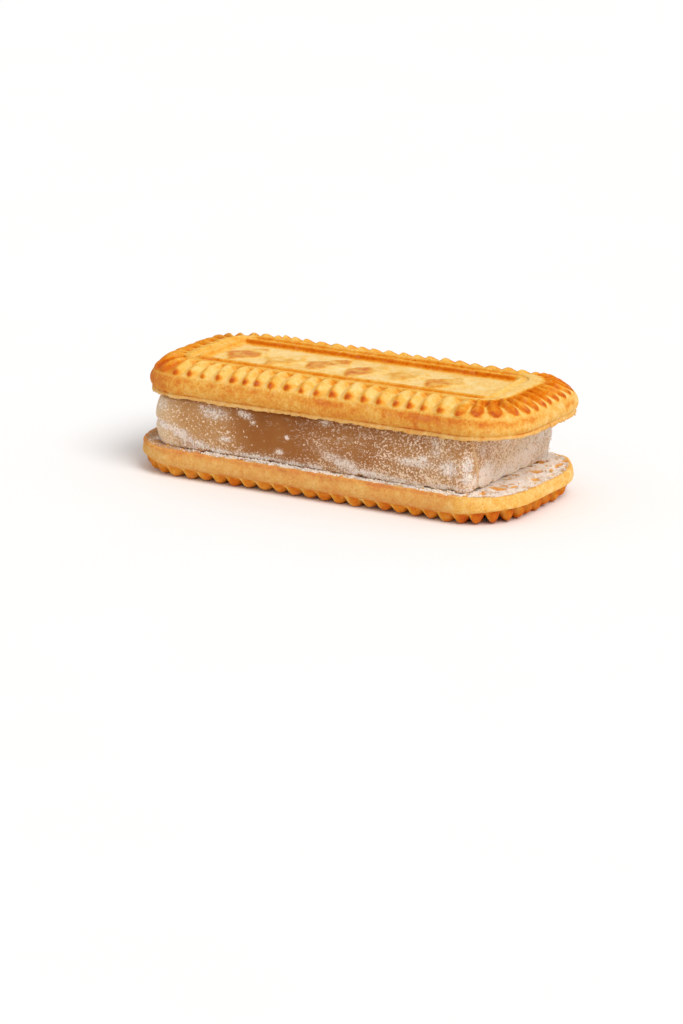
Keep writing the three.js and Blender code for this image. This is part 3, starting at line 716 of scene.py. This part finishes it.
def jelly_material():
    g = Graph("dusted_jelly")
    p = g.coord()
    patch, speck_d, grain_d, scr_d, body = (g.attr(k) for k in ("patch", "speck", "grain", "scratch", "body"))

    def dots(scale, r0, r1, soft, density, warp=None):
        q = p if warp is None else warp
        vo = g.voronoi(q, scale)
        sep = g.node("ShaderNodeSeparateColor")
        g.link(vo.outputs["Color"], sep.inputs[0])
        r = g.math("ADD", g.math("MULTIPLY", sep.outputs[0], r1 - r0), r0)
        near = g.math("SUBTRACT", r, vo.outputs["Distance"])
        on = g.span(g.math("SUBTRACT", density, sep.outputs[1]), 0.0, 0.04)
        return g.math("MULTIPLY", g.span(near, -soft, soft), on)

    # every coordinate is pushed about a little, so that no fleck is round
    wob = g.node("ShaderNodeTexNoise")
    wob.inputs["Scale"].default_value = 1.9
    wob.inputs["Detail"].default_value = 2.0
    g.link(p, wob.inputs["Vector"])
    off = g.node("ShaderNodeVectorMath", operation="MULTIPLY_ADD")
    g.link(wob.outputs["Color"], off.inputs[0])
    off.inputs[1].default_value = (0.55, 0.55, 0.55)
    g.link(p, off.inputs[2])
    warped = off.outputs[0]

    big = dots(1.12, 0.11, 0.30, 0.04, speck_d, warped)
    fine = dots(1.95, 0.14, 0.37, 0.06, grain_d, warped)
    dust = dots(4.2, 0.20, 0.42, 0.12, g.math("MULTIPLY", grain_d, 0.9))
    flake = dots(0.42, 0.02, 0.26, 0.05, g.math("MULTIPLY", speck_d, 0.20), warped)
    cloud = g.noise(p, 0.9, 4.0, 0.65)
    grit = g.noise(p, 2.9, 4.0, 0.80)
    level = g.math("ADD", g.math("MULTIPLY", patch, 0.74), g.math("MULTIPLY", g.math("SUBTRACT", cloud, 0.5), 0.9))
    level = g.math("ADD", level, g.math("MULTIPLY", g.math("SUBTRACT", grit, 0.5), 3.0))
    heap = g.math("MULTIPLY", g.span(level, 0.36, 0.54), g.span(patch, 0.06, 0.22))
    frost = g.math("ADD", g.noise(warped, 2.5, 2.5, 0.72), g.math("MULTIPLY", g.math("SUBTRACT", grain_d, 0.5), 0.26))
    frost = g.math("ADD", frost, g.math("MULTIPLY", g.math("SUBTRACT", g.noise(p, 0.45, 2.0), 0.5), 0.22))
    frost = g.math("MULTIPLY", g.span(frost, 0.55, 0.62), g.span(grain_d, 0.18, 0.6, 0.22, 0.86))
    lines = g.noise(g.scaled(warped, (0.42, 0.42, 2.4), (0.0, 0.62, 0.0)), 1.5, 3.0, 0.6, 0.5)
    lines2 = g.noise(g.scaled(warped, (0.5, 0.5, 2.6), (0.0, -0.75, 0.3)), 1.35, 3.0, 0.6, 0.5)
    thin = lambda q: g.math("MULTIPLY", g.span(q, 0.585, 0.605), g.span(q, 0.665, 0.640))
    scratch = g.math("MAXIMUM", thin(lines), thin(lines2))
    scratch = g.math("MULTIPLY", g.math("MULTIPLY", scratch, scr_d), g.span(g.noise(p, 0.7, 2.0), 0.44, 0.56))
    m = g.math("MAXIMUM", g.math("MULTIPLY", heap, 0.92), g.math("MULTIPLY", big, 0.85))
    m = g.math("MAXIMUM", m, g.math("MAXIMUM", g.math("MULTIPLY", fine, 0.84), frost))
    m = g.math("MAXIMUM", m, g.math("MAXIMUM", g.math("MULTIPLY", scratch, 0.75), g.math("MULTIPLY", flake, 0.9)))
    m = g.math("MAXIMUM", m, g.math("MULTIPLY", dust, 0.22))
    veil = g.math("ADD", g.math("MULTIPLY", grain_d, 0.08), g.math("MULTIPLY", g.span(g.math("ADD", patch, g.math("MULTIPLY", cloud, 0.3)), 0.15, 0.8), 0.28))
    tone = g.math("ADD", body, g.math("MULTIPLY", g.math("SUBTRACT", g.noise(p, 0.16, 3.0, 0.5), 0.5), 0.55))
    jelly = g.ramp(tone, [(0.0, (144, 82, 22)), (0.3, (161, 99, 38)), (0.6, (190, 136, 76)), (0.85, (214, 174, 124)), (1.0, (226, 196, 156))])
    hazed = g.mix(veil, jelly, lin((228, 196, 168)))
    warm = g.mix(g.span(patch, 0.15, 0.6, 0.15, 0.85), lin((255, 227, 196)), lin((251, 237, 228)))
    col = g.mix(m, hazed, warm)
    rough = g.span(m, 0.0, 0.7, 0.46, 0.92)
    h = g.math("ADD", g.math("MULTIPLY", m, 1.0), g.math("MULTIPLY", g.noise(p, 0.9, 3.0, 0.6), 0.5))
    n = g.bump(h, 0.6, 0.00016)
    g.finish(Base_Color=col, Roughness=rough, Normal=n, Subsurface_Weight=0.36, Subsurface_Radius=(1.0, 0.58, 0.30), Subsurface_Scale=0.0018, Specular_IOR_Level=0.20)
    return g.mat


def powder_material(name, tint):
    g = Graph(name)
    p = g.coord()
    col = g.mix(g.noise(p, 1.7, 2.0), lin(tint), lin((255, 243, 230)))
    n = g.bump(g.noise(p, 9.0, 2.0), 0.4, 0.00005)
    g.finish(Base_Color=col, Roughness=0.9, Normal=n, Subsurface_Weight=0.25, Subsurface_Radius=(1.0, 0.9, 0.8), Subsurface_Scale=0.0004, Specular_IOR_Level=0.25)
    return g.mat


# ------------------------------------------------------------------ placing
def place(V, centre, z, flip, turn=0.0, slope=(0.0, 0.0)):
    V = np.asarray(V, dtype=float).copy()
    if flip is not None:
        V[:, 1] = -V[:, 1]
        V[:, 2] = flip - V[:, 2]
    c, s = math.cos(turn), math.sin(turn)
    x, y = V[:, 0] * c - V[:, 1] * s, V[:, 0] * s + V[:, 1] * c
    x2 = x - slope[0] * V[:, 2]
    y2 = y - slope[1] * V[:, 2]
    return np.column_stack([x2 + centre[0], y2 + centre[1], V[:, 2] + z + slope[0] * x + slope[1] * y])


def centre_of(node):
    lo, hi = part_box(node)
    return ((lo[0] + hi[0]) / 2 / MM, (lo[1] + hi[1]) / 2 / MM), lo[2] / MM, hi[2] / MM


crust_top = biscuit_material("crust_upper", False)
crust_bottom = biscuit_material("crust_lower", True)
crust_crumb = biscuit_material("crust_crumb", False)
jelly = jelly_material()
powder = powder_material("powder_white", (244, 228, 212))

GAP = 0.15
c_bot, z_bot, z_bot_hi = centre_of("biscuit_bottom")
V, F, A = biscuit(BOTTOM_T, LENGTH_BOTTOM, 47, False)
V = place(V, c_bot, z_bot, BOTTOM_T)
corner = smooth(20.0, 36.0, V[:, 0]) * smooth(4.0, 16.0, V[:, 1])
V[:, 1] += 0.75 * corner
V[:, 2] += 0.55 * corner
V[:, 2] = np.maximum(V[:, 2], z_bot)
lower = new_mesh("biscuit_lower_baked", V, F, A, crust_bottom)
LOWER_V, LOWER_BASE = V, A["lower_face"] > 0.5
LOWER_INSET, LOWER_PIT = A["inset"][LOWER_BASE], A["pit"][LOWER_BASE]

c_top, _, _ = centre_of("biscuit_top")
z_top = z_bot + BOTTOM_T + 2 * GAP + SLAB_T
V, F, A = biscuit(TOP_T, LENGTH_TOP, 11, True)
V = place(V, c_top, z_top, None, math.radians(0.1), (SLOPE_X, SLOPE_Y))
upper = new_mesh("biscuit_upper_baked", V, F, A, crust_top)
UPPER_LIP = V[(A["wallmask"] > 0.5) & (A["lip_low"] > 0.5)]


def edge_out(pts, centre):
    """how far points lie outside the slab's foot"""
    return np.maximum(np.abs(pts[:, 0] - centre[0]) - SLAB_L / 2 + 0.6, np.abs(pts[:, 1] - centre[1]) - SLAB_W / 2 + 0.6)


# ------------------------------------------------------------------ the slab of Turkish delight
def slab_ring(t, grow, r_right, r_left):
    half_l, half_w = SLAB_L / 2 - 0.45 + grow, SLAB_W / 2 - 0.45 + grow
    s = (np.asarray(t) % 1.0) * TOTAL
    k = np.minimum(np.searchsorted(ENDS, s, side="left"), 8)
    f = (s - np.concatenate([[0], ENDS[:-1]])[k]) / SEGS[k]
    x, y = np.zeros_like(s), np.zeros_like(s)
    rr, rl = r_right, r_left
    m = k == 0; x[m] = f[m] * (half_l - rr); y[m] = -half_w
    m = k == 8; x[m] = -(half_l - rl) * (1 - f[m]); y[m] = -half_w
    m = k == 4; q = 1 - 2 * f[m]; x[m] = np.where(q > 0, q * (half_l - rr), q * (half_l - rl)); y[m] = half_w
    for kk, cx, cy, a0, r in ((1, half_l - rr, -(half_w - rr), -90, rr), (3, half_l - rr, half_w - rr, 0, rr), (5, -(half_l - rl), half_w - rl, 90, rl), (7, -(half_l - rl), -(half_w - rl), 180, rl)):
        m = k == kk
        a = math.radians(a0) + f[m] * math.pi / 2
        x[m] = cx + r * np.cos(a); y[m] = cy + r * np.sin(a)
    m = k == 2; x[m] = half_l; y[m] = -(half_w - rr) + 2 * (half_w - rr) * f[m]
    m = k == 6; x[m] = -half_l; y[m] = (half_w - rl) - 2 * (half_w - rl) * f[m]
    return np.stack([x, y], -1)


def spread_far(x, y, h):
    """the far right corner of the slab is pressed out wide"""
    k = smooth(4.0, 14.0, y)
    return x + 0.55 * (h - 0.35) * k * smooth(24.0, 33.0, x), y + 1.6 * k * smooth(12.0, 30.0, x)


def slab():
    n = 900
    t = np.arange(n) / n
    # profile from the middle of the underside, up the wall, to the middle of the top: (inset, height 0..1)
    T = SLAB_T
    rnd, foot_r = 0.75, 0.38
    prof = [(i, 0.0) for i in (13.8, 11.0, 8.0, 5.5, 3.8, 2.6, 1.9, 1.2)]
    for a in np.linspace(0, math.pi / 2, 6):
        prof.append((foot_r - foot_r * math.sin(a), foot_r - foot_r * math.cos(a)))
    for z in np.linspace(foot_r, T - rnd, 42)[1:-1]:
        prof.append((0.0, z))
    for a in np.linspace(math.pi / 2, 0, 7):
        prof.append((rnd - rnd * math.sin(a), T - rnd + rnd * math.cos(a)))
    prof += [(i, T) for i in (1.4, 1.9, 2.6, 3.8, 5.5, 8.0, 11.0, 13.8)]
    rows = []
    for inset, z in prof:
        h = z / T
        swell = 0.45 * math.sin(math.pi * h)
        r = max(0.15, 2.6 - inset * 0.18)
        rl = max(0.15, 4.6 - inset * 0.3)
        pts = slab_ring(t, swell - inset, r, rl)
        rows.append(np.column_stack([pts, np.full(n, z)]))
    V = np.concatenate(rows)
    INS = np.repeat([q[0] for q in prof], n)
    X, Y, Z = V[:, 0], V[:, 1], V[:, 2]
    H = Z / T
    out = np.column_stack([np.sign(X) * np.maximum(np.abs(X) - (SLAB_L / 2 - 6), 0), np.sign(Y) * np.maximum(np.abs(Y) - (SLAB_W / 2 - 6), 0)])
    out /= np.maximum(np.linalg.norm(out, axis=1, keepdims=True), 1e-6)
    wall = smooth(1.2, 0.2, INS) * np.sin(np.pi * np.clip(H, 0, 1)) ** 0.4
    leftw = smooth(-24, -33, X)
    rightw = smooth(26, 32, X)
    P = V.copy()
    push = wall * (0.22 * fbm(P * [1, 1, 1.3], 0.11, 3, 5) + 0.06 * fbm(P, 0.6, 3, 6) + 0.02 * fbm(P, 2.0, 2, 8))
    # the left end bulges in two folds with a crease between
    push += wall * leftw * (0.35 * np.exp(-((H - 0.68) / 0.22) ** 2) + 0.30 * np.exp(-((H - 0.25) / 0.2) ** 2) - 0.28 * np.exp(-((H - 0.46 + 0.02 * np.sin(Y)) / 0.05) ** 2))
    # a vertical pull mark near the front right corner
    push += wall * (Y < 0) * (-0.16 * np.exp(-((X - 29.6 - 0.8 * (0.5 - H)) / 0.35) ** 2) + 0.12 * np.exp(-((X - 28.8 - 0.8 * (0.5 - H)) / 0.3) ** 2))
    X = X + out[:, 0] * push
    Y = Y + out[:, 1] * push
    X, Y = spread_far(X, Y, H)
    Z = Z - 0.12 * smooth(0.06, 0.0, H)
    # distance along the wall from the middle of the near side, to the right and (below 0) to the left
    ringm = slab_ring(t, 0.0, 2.6, 4.6)
    step = np.linalg.norm(np.roll(ringm, -1, 0) - ringm, axis=1)
    run = np.concatenate([[0], np.cumsum(step)[:-1]])
    run = np.where(t > 0.5, run - step.sum(), run)
    A = np.tile(run, len(prof))
    near = smooth(56, 52, np.abs(A))
    # short gaps where the foot doesn't touch the biscuit
    gap = np.zeros(len(V))
    for a, ra, w in ((-21.0, 0.8, 0.6), (-7.5, 0.7, 0.6), (11.0, 0.6, 0.6), (24.8, 0.9, 0.8), (29.6, 1.0, 0.8), (35.2, 1.5, 1.0), (40.3, 0.6, 0.9), (44.9, 1.7, 0.7), (50.7, 0.7, 0.9)):
        gap = np.maximum(gap, w * np.exp(-((A - a) / ra) ** 4))
    Z = Z + 0.42 * gap * smooth(0.11, 0.03, H) * smooth(2.3, 0.9, INS)
    low = smooth(0.42, 0.02, H)
    wavy = 0.05 * np.sin(A * 0.9) + 0.03 * np.sin(A * 2.3 + 1)
    # patches of powder: place along the wall, height, half length, half height, strength
    patch = np.zeros(len(V))
    for a, h, ra, rh, w, tilt in (
            (-19.6, 0.81, 2.3, 0.10, 0.85, -0.01), (-21.6, 0.90, 1.3, 0.06, 0.6, 0.0), (-13.0, 0.87, 1.2, 0.06, 0.9, -0.03), (-30.4, 0.80, 1.8, 0.12, 0.5, 0.0),
            (-29.2, 0.41, 2.4, 0.08, 0.75, -0.03), (-25.8, 0.26, 2.3, 0.12, 0.9, -0.05), (-22.4, 0.11, 2.0, 0.08, 0.9, -0.03), (-18.8, 0.04, 2.2, 0.06, 0.9, 0.0),
            (-11.2, 0.74, 0.45, 0.035, 1.0, 0.0), (-5.8, 0.24, 0.65, 0.05, 1.0, 0.0), (-4.0, 0.55, 0.40, 0.035, 0.9, 0.0), (-17.0, 0.32, 1.2, 0.05, 0.75, 0.0),
            (-3.2, 0.045, 3.8, 0.05, 0.8, 0.0), (-11.0, 0.05, 4.5, 0.05, 0.9, 0.0), (1.6, 0.05, 1.6, 0.05, 0.85, 0.0), (7.6, 0.20, 3.4, 0.10, 0.85, -0.03), (11.5, 0.08, 3.6, 0.07, 0.9, 0.0),
            (3.6, 0.95, 0.9, 0.05, 0.8, 0.0), (17.6, 0.05, 3.2, 0.05, 0.75, 0.0), (22.2, 0.45, 3.2, 0.07, 0.75, 0.0), (23.9, 0.54, 0.9, 0.06, 0.85, 0.0), (26.4, 0.90, 0.8, 0.07, 0.7, 0.0),
            (26.3, 0.70, 0.9, 0.08, 0.6, 0.0), (29.0, 0.43, 1.7, 0.12, 0.85, 0.0), (32.6, 0.50, 1.0, 0.16, 0.8, 0.0), (32.6, 0.28, 1.1, 0.12, 0.8, 0.0), (28.6, 0.06, 3.2, 0.06, 0.7, 0.0),
            (37.6, 0.20, 3.2, 0.22, 0.95, 0.0), (36.9, 0.72, 1.4, 0.10, 0.6, 0.0), (43.5, 0.10, 4.5, 0.16, 0.8, 0.0), (52.0, 0.25, 7.0, 0.35, 0.5, 0.0), (45.0, 0.75, 2.5, 0.12, 0.5, 0.0), (58.0, 0.60, 5.5, 0.45, 0.62, 0.0)):
        e = ((A - a) / ra) ** 2 + ((H - h - tilt * (A - a)) / rh) ** 2
        patch = np.maximum(patch, w * np.exp(-0.55 * e))
    # the far side and the far end are dusted alike
    away = 1 - near
    patch = np.maximum(patch, away * (0.62 * low + 0.55 * smooth(0.15, 0.6, fbm(P, 0.16, 3, 14))))
    # the lowest strip of the wall is kept bare of powder, so a thin dark line of jelly runs along the foot: painted
    # shade of the gap beneath
    patch = np.maximum(patch, 0.55 * smooth(0.14, 0.05, H) * smooth(-0.4, 0.3, fbm(P, 0.35, 2, 15))) * smooth(0.012, 0.035, H)
    speck = 0.23 + 0.75 * np.exp(-(((A + 19) / 7.5) ** 2 + ((H - 0.42) / 0.30) ** 2)) + 0.18 * smooth(4, 24, A) + 0.12 * leftw - 0.10 * np.exp(-(((A + 6) / 4) ** 2)) * smooth(0.2, 0.4, H)
    grain = 0.28 + 0.17 * smooth(-5, 1, A) + 0.23 * smooth(8, 26, A) + 0.16 * smooth(33, 40, A) + 0.20 * leftw + 0.22 * low + 0.14 * smooth(-10, -18, A) - 0.24 * np.exp(-(((A + 6.5) / 6) ** 2)) * smooth(0.15, 0.35, H) + 0.12 * fbm(P, 0.3, 3, 16)
    grain = grain * near + away * (0.55 + 0.30 * smooth(24, 30, X) + 0.15 * fbm(P, 0.3, 3, 16))
    speck = speck * near + away * 0.34
    scratch = np.exp(-(((A - 5) / 9) ** 4 + ((H - 0.72) / 0.27) ** 4)) + 0.8 * np.exp(-(((A + 7) / 2.2) ** 2 + ((H - 0.82) / 0.10) ** 2)) + 0.6 * np.exp(-(((A - 28) / 3.5) ** 2 + ((H - 0.62) / 0.2) ** 2))
    pull = near * np.exp(-((A - 34.5 - 0.9 * (0.5 - H) - 0.35 * np.sin(5.0 * H)) / 0.36) ** 2)
    body = 0.24 + 0.50 * leftw + 0.28 * smooth(-8, -24, A) + 0.24 * smooth(2, 30, A) + 0.28 * smooth(36, 48, A) + 0.10 * smooth(0.5, 0.05, H) - 0.10 * np.exp(-(((A + 2) / 12) ** 2)) + 0.18 * fbm(P, 0.12, 2, 13)
    body = body + 0.42 * pull - 0.16 * near * np.exp(-(((A - 22) / 4) ** 2 + ((H - 0.85) / 0.15) ** 2)) - 0.14 * np.exp(-(((A - 41) / 3.5) ** 2 + ((H - 0.85) / 0.14) ** 2))
    body = body * near + away * (0.62 + 0.14 * smooth(20, 32, X) + 0.18 * fbm(P, 0.12, 2, 13))
    grain = grain * (1 - 0.6 * pull)
    patch = patch * (1 - 0.7 * pull)
    R = len(prof)
    idx = np.arange(n)
    nxt = (idx + 1) % n
    faces = []
    for k in range(R - 1):
        faces.append(np.stack([k * n + idx, k * n + nxt, (k + 1) * n + nxt, (k + 1) * n + idx], -1))
    first = R * n
    V2 = np.vstack([np.column_stack([X, Y, Z]), [[0, 0, 0]], [[0, 0, T]]])
    tris = np.concatenate([np.stack([np.full(n, first), nxt, idx], -1), np.stack([np.full(n, first + 1), (R - 1) * n + idx, (R - 1) * n + nxt], -1)])
    pad = lambda a: np.concatenate([a, [a[0], a[-1]]])
    return V2, [np.concatenate(faces), tris], {"patch": np.clip(pad(patch), 0, 1), "speck": np.clip(pad(speck), 0, 1), "grain": np.clip(pad(grain), 0, 1), "scratch": np.clip(pad(scratch), 0, 1), "body": np.clip(pad(body), 0, 1)}


c_fil, z_fil, _ = centre_of("filling")
V, F, A = slab()
V = place(V, c_fil, z_fil, None)
share = np.clip((V[:, 2] - z_fil) / SLAB_T, 0, 1)
V[:, 2] += share * (SLOPE_X * (V[:, 0] - c_top[0]) + SLOPE_Y * (V[:, 1] - c_top[1]))
delight = new_mesh("delight_slab", V, F, A, jelly)

# ------------------------------------------------------------------ loose powder and crumbs
PHI = (1 + math.sqrt(5)) / 2
ICO_V = np.array([(-1, PHI, 0), (1, PHI, 0), (-1, -PHI, 0), (1, -PHI, 0), (0, -1, PHI), (0, 1, PHI), (0, -1, -PHI), (0, 1, -PHI), (PHI, 0, -1), (PHI, 0, 1), (-PHI, 0, -1), (-PHI, 0, 1)], dtype=float)
ICO_V /= np.linalg.norm(ICO_V[0])
ICO_F = np.array([(0, 11, 5), (0, 5, 1), (0, 1, 7), (0, 7, 10), (0, 10, 11), (1, 5, 9), (5, 11, 4), (11, 10, 2), (10, 7, 6), (7, 1, 8), (3, 9, 4), (3, 4, 2), (3, 2, 6), (3, 6, 8), (3, 8, 9), (4, 9, 5), (2, 4, 11), (6, 2, 10), (8, 6, 7), (9, 8, 1)])


def lumps_mesh(name, centres, radii, material, seed, rough=0.28):
    """many small uneven lumps as one mesh"""
    r = np.random.default_rng(seed)
    n = len(centres)
    shape = ICO_V[None] * (1 + rough * r.standard_normal((n, 12, 1)).clip(-1.8, 1.8))
    shape = shape * (0.7 + 0.6 * r.random((n, 1, 3)))
    ang = r.random((n, 3)) * 2 * math.pi
    for ax in range(3):
        c, s = np.cos(ang[:, ax])[:, None], np.sin(ang[:, ax])[:, None]
        i, j = (ax + 1) % 3, (ax + 2) % 3
        a, b = shape[:, :, i].copy(), shape[:, :, j].copy()
        shape[:, :, i], shape[:, :, j] = a * c - b * s, a * s + b * c
    Vv = (shape * np.asarray(radii)[:, None, None] + np.asarray(centres)[:, None, :]).reshape(-1, 3)
    Ff = (ICO_F[None] + 12 * np.arange(n)[:, None, None]).reshape(-1, 3)
    return new_mesh(name, Vv, [Ff], {"browning_and_shade": np.repeat(0.14 + 0.28 * r.random(n), 12), "tan": np.full(12 * n, 0.30)}, material)


def pick(points, weight, count, seed):
    r = np.random.default_rng(seed)
    w = np.clip(weight, 0, None)
    idx = r.choice(len(points), size=count, p=w / w.sum(), replace=True)
    return points[idx] + 0.11 * r.standard_normal((count, 3)) * [1, 1, 0.3], r


slab_pts, slab_patch = V.copy(), A["patch"]
centre = np.array([c_fil[0], c_fil[1]])
edge_dist = np.minimum(SLAB_L / 2 - np.abs(slab_pts[:, 0] - centre[0]), SLAB_W / 2 - np.abs(slab_pts[:, 1] - centre[1]))
wall_w = (edge_dist < 0.9) * smooth(0.35, 0.85, slab_patch) * (0.4 + smooth(-0.2, 0.5, fbm(slab_pts, 1.2, 2, 71)))
pts, r = pick(slab_pts, wall_w, 2600, 81)
flake_pts, flake_r = pts, 0.05 + 0.10 * r.random(len(pts)) ** 2

# along the foot of the slab, where it has fallen
foot_t = np.random.default_rng(83).random(2600)
foot = slab_ring(foot_t, -0.25, 2.4, 4.3)
r = np.random.default_rng(84)
outd = foot / np.linalg.norm(foot, axis=1, keepdims=True)
foot = foot + outd * (0.25 + np.abs(r.standard_normal((len(foot), 1))) * 0.50)
foot = np.column_stack([*spread_far(foot[:, 0], foot[:, 1], 0.0), np.full(len(foot), z_fil - 0.12) + 0.18 * r.random(len(foot))]) + [centre[0], centre[1], 0.0]
keep = fbm(foot, 0.32, 2, 85) - 0.16 > 0
foot = foot[keep]
foot_r = 0.07 + 0.15 * r.random(len(foot)) ** 1.6

# clumps on the ledge of the lower biscuit
ledge_pts = LOWER_V[LOWER_BASE]
ledge_w = smooth(0.7, 1.1, LOWER_INSET) * smooth(0.25, 0.1, LOWER_PIT) * (edge_out(ledge_pts, centre) > 0) * smooth(-0.15, 0.45, fbm(ledge_pts, 0.55, 2, 87)) * (0.35 + 0.65 * smooth(-28, -8, ledge_pts[:, 0]))
pts, r = pick(ledge_pts, ledge_w, 3600, 88)
clump_r = 0.06 + 0.15 * r.random(len(pts)) ** 1.8
loose_powder = lumps_mesh("powder_loose", np.concatenate([flake_pts, foot, pts]), np.concatenate([flake_r, foot_r, clump_r]), powder, 89)

# biscuit crumbs on the ledge and hanging at the lip of the upper biscuit
pts, r = pick(ledge_pts, ledge_w ** 0.4 + 0.02, 170, 90)
low_pts, low_r = pts, 0.10 + 0.20 * r.random(len(pts)) ** 2
pts, r = pick(UPPER_LIP, np.ones(len(UPPER_LIP)), 330, 92)
loose_crumbs = lumps_mesh("crumbs_loose", np.concatenate([low_pts, pts]), np.concatenate([low_r, 0.06 + 0.12 * r.random(len(pts)) ** 2]), crust_crumb, 93, 0.30)
for ob, slot in ((loose_powder, "jelly"), (loose_crumbs, "biscuit")):
    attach(ob, "root")

for ob, node, slot in ((upper, "biscuit_top", "biscuit"), (lower, "biscuit_bottom", "biscuit"), (delight, "filling", "jelly")):
    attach(ob, "root")
    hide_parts(node)

# ------------------------------------------------------------------ floor, light, camera
def floor():
    g = Graph("floor_paper")
    p = g.coord()
    col = g.mix(g.noise(p, 0.02, 2.0), lin((246, 246, 247)), lin((250, 250, 250)))
    g.finish(Base_Color=col, Roughness=0.9, Specular_IOR_Level=0.2)
    me = bpy.data.meshes.new("floor")
    s = 6.0
    me.from_pydata([(-s, -s, -0.00005), (s, -s, -0.00005), (s, s, -0.00005), (-s, s, -0.00005)], [], [(0, 1, 2, 3)])
    ob = bpy.data.objects.new("floor", me)
    me.materials.append(g.mat)
    bpy.context.scene.collection.objects.link(ob)
    return ob


floor()

world = bpy.data.worlds.new("studio")
bpy.context.scene.world = world
world.use_nodes = True
bg = world.node_tree.nodes["Background"]
bg.inputs["Color"].default_value = (1.0, 0.995, 0.985, 1)
bg.inputs["Strength"].default_value = 0.62


def sun(name, towards, strength, spread, colour):
    li = bpy.data.lights.new(name, "SUN")
    li.energy = strength
    li.angle = math.radians(spread)
    li.color = colour
    ob = bpy.data.objects.new(name, li)
    ob.rotation_mode = "QUATERNION"
    ob.rotation_quaternion = Vector(towards).to_track_quat("Z", "Y")
    ob.location = Vector(towards) * 1.0
    bpy.context.scene.collection.objects.link(ob)
    return ob


sun("key", (0.60, -0.24, 0.76), 1.95, 34, (1.0, 0.985, 0.96))

AZ, EL, DIST = 31.107, 15.343, 1184.835
F_PX, U0, V0 = 6584.1, 355.68, 415.27
cam_data = bpy.data.cameras.new("camera")
cam_data.sensor_fit = "AUTO"
cam_data.sensor_width = 36.0
cam_data.lens = F_PX / 1024 * 36.0
cam_data.clip_start, cam_data.clip_end = 0.05, 20
camera = bpy.data.objects.new("camera", cam_data)
bpy.context.scene.collection.objects.link(camera)
a, e = math.radians(AZ), math.radians(EL)
back = Vector((math.sin(a) * math.cos(e), -math.cos(a) * math.cos(e), math.sin(e)))
target = Vector((c_bot[0], c_bot[1], 12.0))
fw = -back
right = fw.cross(Vector((0, 0, 1))).normalized()
up = right.cross(fw)
ya, pi_ = math.atan((341.5 - U0) / F_PX), math.atan((512 - V0) / F_PX)
fw2 = fw * math.cos(ya) + right * math.sin(ya)
r2 = right * math.cos(ya) - fw * math.sin(ya)
fw3 = fw2 * math.cos(pi_) - up * math.sin(pi_)
up3 = up * math.cos(pi_) + fw2 * math.sin(pi_)
loc = (target + back * DIST) * MM
camera.matrix_world = Matrix(((r2.x, up3.x, -fw3.x, loc.x), (r2.y, up3.y, -fw3.y, loc.y), (r2.z, up3.z, -fw3.z, loc.z), (0, 0, 0, 1)))
bpy.context.scene.camera = camera

view = bpy.context.scene.view_settings
view.view_transform = "Standard"
view.look = "None"
view.exposure = 0.0
view.gamma = 1.0
